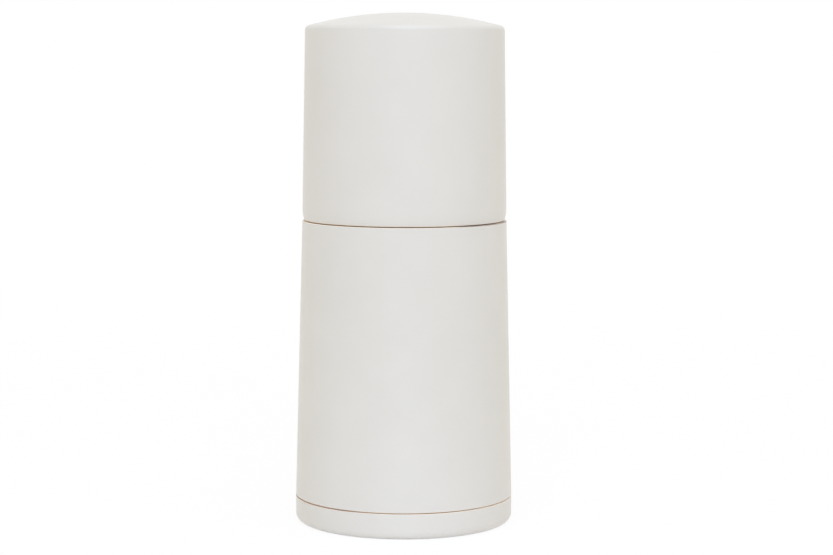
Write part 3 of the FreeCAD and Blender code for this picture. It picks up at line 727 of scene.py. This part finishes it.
def band_piece(name, inner, crest, bottom, height, material, body, node):
    """Elastic band with a soft round ridge outside."""
    band_top = bottom + height
    edge = crest - band_ridge - edge_rounding
    radius = arc_radius(height / 2, band_ridge)
    half = math.asin(height / 2 / radius)
    ridge = arc((crest - radius, bottom + height / 2), radius, -half, half)
    bm = bmesh.new()
    lathe(bm, [(inner, band_top), (inner, bottom), (edge, bottom)] + ridge + [(edge, band_top)])
    return finished_piece(name, bm, material, body, [node], soft_crease_angle)


def spring_height(turn):
    """Height of the wire's middle after a number of turns, with a close turn at each end."""
    low = spring_seat + spring_end_gap + spring_wire / 2
    high = spring_top - spring_end_gap - spring_wire / 2
    if turn <= 1:
        return low + spring_end_pitch * turn
    if turn >= spring_turns - 1:
        return high - spring_end_pitch * (spring_turns - turn)
    open_pitch = (high - low - 2 * spring_end_pitch) / (spring_turns - 2)
    return low + spring_end_pitch + open_pitch * (turn - 1)


def wire_ring(bm, turn):
    """Adds the circle of vertices round the spring's wire after a number of turns."""
    angle = 2 * math.pi * turn
    outwards = Vector((math.cos(angle), math.sin(angle), 0))
    middle = outwards * spring_radius + Vector((0, 0, spring_height(turn)))
    ring = []
    for side in range(wire_sides):
        round_wire = 2 * math.pi * side / wire_sides
        offset = outwards * math.cos(round_wire) + Vector((0, 0, math.sin(round_wire)))
        ring.append(bm.verts.new((middle + offset * (spring_wire / 2)) * MM))
    return ring


def spring_piece(material):
    """Round wire wound into the pressure spring, which shortens as the pusher is pressed in."""
    bm = bmesh.new()
    along = bm.loops.layers.uv.new("along")
    rings = []
    for index in range(spring_turns * samples_per_turn + 1):
        rings.append(wire_ring(bm, index / samples_per_turn))
    for index, (near, far) in enumerate(zip(rings, rings[1:])):
        for side in range(wire_sides):
            after = (side + 1) % wire_sides
            face = bm.faces.new([near[side], near[after], far[after], far[side]])
            places = [(index, side), (index, side + 1), (index + 1, side + 1), (index + 1, side)]
            for loop, (step, round_step) in zip(face.loops, places):
                loop[along].uv = (step / samples_per_turn, round_step / wire_sides)
    bm.faces.new(rings[0])
    bm.faces.new(rings[-1])
    piece = finished_piece("spring_wire", bm, material, "handle", ["pressure_spring"],
                           soft_crease_angle)
    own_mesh(piece)


def dress(frame, material, names):
    """Gives CAD nodes a better material."""
    for name in names:
        mesh = frame["nodes"][name].data
        mesh.materials.clear()
        mesh.materials.append(material)


bpy.context.scene.view_settings.view_transform = "Standard"
make_camera()
make_world()
make_lamp("front_lamp", front_power, front_colour, front_size, front_place, front_target)
make_lamp("foot_lamp", foot_power, foot_colour, foot_size, foot_place, foot_target, foot_beam)
make_lamp("top_lamp", top_power, top_colour, top_size, top_place, top_target)

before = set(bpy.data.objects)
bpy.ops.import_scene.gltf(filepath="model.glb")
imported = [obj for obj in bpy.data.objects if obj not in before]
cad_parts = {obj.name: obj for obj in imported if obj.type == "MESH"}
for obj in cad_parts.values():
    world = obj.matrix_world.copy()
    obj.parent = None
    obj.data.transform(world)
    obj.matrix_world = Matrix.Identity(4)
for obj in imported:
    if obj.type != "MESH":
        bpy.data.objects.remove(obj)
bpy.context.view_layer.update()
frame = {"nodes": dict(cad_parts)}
make_floor()

shell = moulded_plastic("shell_plastic", shell_colour, roughness=0.32, grain=0.16, depth=0.004,
                        mottle=0.012)
# Seam materials: painted warm light on the faces in the gaps, and painted shade on one side on the edges
land = seam_painted_plastic("land_painted_plastic", land_painted_light_colour, land_painted_fleck_colour)
lip = seam_painted_plastic("lip_painted_plastic", lip_painted_light_colour, lip_painted_fleck_colour)
# Colour, direction and radius of the painted shade on one side of each seam
lower_painted_shade = (lower_painted_shade_colour, lower_painted_shade_direction, base_radius)
upper_painted_shade = (upper_painted_shade_colour, upper_painted_shade_direction, grip_radius)
cap_edge = seam_painted_plastic("cap_edge_painted_plastic", land_painted_light_colour, land_painted_fleck_colour, lower_painted_shade)
foot_edge = seam_painted_plastic("foot_edge_painted_plastic", lip_painted_light_colour, lip_painted_fleck_colour, lower_painted_shade)
top_edge = seam_painted_plastic("top_edge_painted_plastic", land_painted_light_colour, land_painted_fleck_colour, upper_painted_shade)
handle_edge = seam_painted_plastic("handle_edge_painted_plastic", lip_painted_light_colour, lip_painted_fleck_colour, upper_painted_shade)
inner = moulded_plastic("inner_plastic", inner_colour, roughness=0.42, grain=0.3, depth=0.003,
                        mottle=0.03)
bearing = moulded_plastic("bearing_plastic", bearing_colour, roughness=0.34, grain=0.5, depth=0.002,
                          mottle=0.02)
silicone = silicone_rubber("silicone", silicone_colour)
blade = rolled_steel("blade_steel", blade_colour, stretch=(0.03, 1.0, 1.0), line=0.12, depth=0.002)
screws = rolled_steel("screw_steel", screw_colour, stretch=(1.0, 1.0, 0.4), line=0.25, depth=0.002)
wire = drawn_wire("spring_steel", spring_colour)

cap = base_cap_piece(shell)
body = body_piece(shell)
handle = handle_piece(shell)
# Painted light and shade on the faces at each seam
paint_seam(cap, cap_height, land, cap_edge)
paint_seam(body, body_foot, lip, foot_edge)
paint_seam(body, body_top, land, top_edge)
paint_seam(handle, handle_foot, lip, handle_edge)
band_piece("cap_seal_band", seal_inner, seal_crest, seal_bottom, seal_height,
           silicone, "base", "cap_seal")
band_piece("grip_band", grip_inner, grip_crest, grip_bottom, grip_height,
           silicone, "drive_ring", "grip_ring")
spring_piece(wire)

dress(frame, inner, ["cap_liner", "chamber_sleeve", "blade_ring", "handle_core", "spring_cap",
                     "pusher_foot"])
dress(frame, bearing, ["thrust_washer", "bearing_ring", "pusher_tube"])
dress(frame, blade, ["blade_disc", "claw_plate"])
dress(frame, screws, ["ring_screws", "core_screws", "claw_screw", "neck_clip"])
